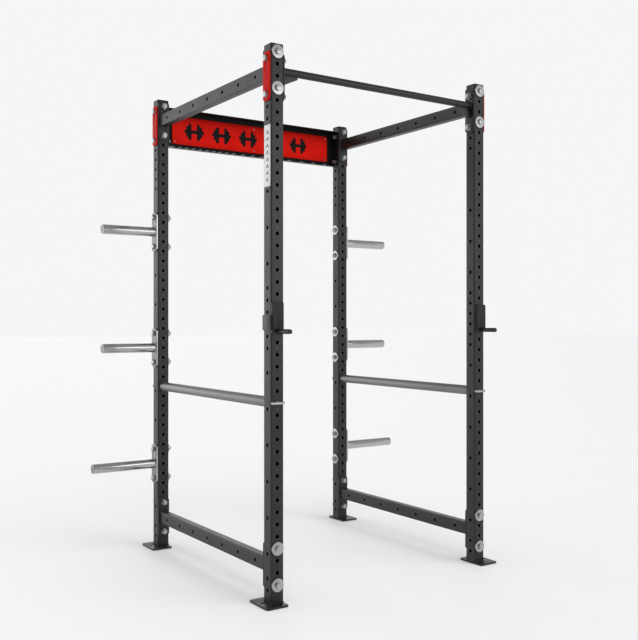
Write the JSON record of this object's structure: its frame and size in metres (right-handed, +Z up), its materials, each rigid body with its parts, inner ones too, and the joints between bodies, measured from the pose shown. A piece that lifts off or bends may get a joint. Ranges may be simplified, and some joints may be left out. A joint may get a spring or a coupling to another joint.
{
  "type": "power cage",
  "caption": "Free-standing lifting cage of drilled square posts with pull-up bar, sign tray, bar hooks, pinned safety pipes and plate storage pegs.",
  "frame": {"origin": "middle of the bounding box on the floor, under the foot plates", "axes": "+X across to the right of somebody who faces the front, +Y from front to back, +Z up"},
  "size_m": [1.8766, 1.353, 2.312],
  "materials": {
    "charcoal_coat": "fine-textured matt charcoal powder coat",
    "red_coat": "smooth satin red powder coat",
    "zinc_plate": "bright zinc plate, lightly brushed",
    "zinc_bolts": "zinc-plated fasteners with a soft sheen",
    "satin_steel": "satin grey steel tube",
    "black_plastic": "matt black polyethylene"
  },
  "bodies": {
    "frame": {"front_left_post": "charcoal_coat", "front_left_foot_plate": "charcoal_coat", "front_right_post": "charcoal_coat", "front_right_foot_plate": "charcoal_coat", "rear_left_post": "charcoal_coat", "rear_left_foot_plate": "charcoal_coat", "rear_right_post": "charcoal_coat", "rear_right_foot_plate": "charcoal_coat", "left_lower_beam": "charcoal_coat", "left_upper_beam": "charcoal_coat", "right_lower_beam": "charcoal_coat", "right_upper_beam": "charcoal_coat", "pull_up_bar": "charcoal_coat", "front_left_backing_plate": "red_coat", "front_right_backing_plate": "red_coat", "rear_left_backing_plate": "red_coat", "rear_right_backing_plate": "red_coat", "sign_tray": "charcoal_coat", "sign_tray_comb": "charcoal_coat", "sign_panel": "red_coat", "left_low_storage_peg": "zinc_plate", "left_middle_storage_peg": "zinc_plate", "left_high_storage_peg": "zinc_plate", "right_low_storage_peg": "zinc_plate", "right_middle_storage_peg": "zinc_plate", "right_high_storage_peg": "zinc_plate", "front_left_lower_beam_bolt_1": "zinc_bolts", "front_left_lower_beam_bolt_2": "zinc_bolts", "front_left_upper_beam_bolt_1": "zinc_bolts", "front_left_upper_beam_bolt_2": "zinc_bolts", "front_right_lower_beam_bolt_1": "zinc_bolts", "front_right_lower_beam_bolt_2": "zinc_bolts", "front_right_upper_beam_bolt_1": "zinc_bolts", "front_right_upper_beam_bolt_2": "zinc_bolts", "rear_left_lower_beam_bolt_1": "zinc_bolts", "rear_left_lower_beam_bolt_2": "zinc_bolts", "rear_left_upper_beam_bolt_1": "zinc_bolts", "rear_left_upper_beam_bolt_2": "zinc_bolts", "rear_right_lower_beam_bolt_1": "zinc_bolts", "rear_right_lower_beam_bolt_2": "zinc_bolts", "rear_right_upper_beam_bolt_1": "zinc_bolts", "rear_right_upper_beam_bolt_2": "zinc_bolts", "front_left_pull_up_bolt_1": "zinc_bolts", "front_left_pull_up_bolt_2": "zinc_bolts", "front_right_pull_up_bolt_1": "zinc_bolts", "front_right_pull_up_bolt_2": "zinc_bolts", "rear_left_tray_bolt_1": "zinc_bolts", "rear_left_tray_bolt_2": "zinc_bolts", "rear_right_tray_bolt_1": "zinc_bolts", "rear_right_tray_bolt_2": "zinc_bolts"},
    "left_hook": {"left_bar_hook": "charcoal_coat", "left_bar_hook_liner": "black_plastic"},
    "left_pipe": {"left_safety_pipe": "satin_steel"},
    "front_left_pin": {"front_left_safety_pin": "zinc_bolts"},
    "rear_left_pin": {"rear_left_safety_pin": "zinc_bolts"},
    "right_hook": {"right_bar_hook": "charcoal_coat", "right_bar_hook_liner": "black_plastic"},
    "right_pipe": {"right_safety_pipe": "satin_steel"},
    "front_right_pin": {"front_right_safety_pin": "zinc_bolts"},
    "rear_right_pin": {"rear_right_safety_pin": "zinc_bolts"}
  },
  "joints": [
    {"name": "left_hook_slide", "type": "slide", "parent": "frame", "child": "left_hook", "axis": [-1, 0, 0], "range_m": [0, 0.09]},
    {"name": "left_pipe_spin", "type": "hinge", "parent": "frame", "child": "left_pipe", "pos_m": [-0.57, 0.0315, 0.833], "axis": [0, 1, 0], "continuous": true},
    {"name": "front_left_pin_slide", "type": "slide", "parent": "frame", "child": "front_left_pin", "axis": [0, -1, 0], "range_m": [0, 0.125]},
    {"name": "rear_left_pin_slide", "type": "slide", "parent": "frame", "child": "rear_left_pin", "axis": [0, 1, 0], "range_m": [0, 0.125]},
    {"name": "right_hook_slide", "type": "slide", "parent": "frame", "child": "right_hook", "axis": [1, 0, 0], "range_m": [0, 0.09]},
    {"name": "right_pipe_spin", "type": "hinge", "parent": "frame", "child": "right_pipe", "pos_m": [0.57, 0.0315, 0.833], "axis": [0, 1, 0], "continuous": true},
    {"name": "front_right_pin_slide", "type": "slide", "parent": "frame", "child": "front_right_pin", "axis": [0, -1, 0], "range_m": [0, 0.125]},
    {"name": "rear_right_pin_slide", "type": "slide", "parent": "frame", "child": "rear_right_pin", "axis": [0, 1, 0], "range_m": [0, 0.125]}
  ]
}
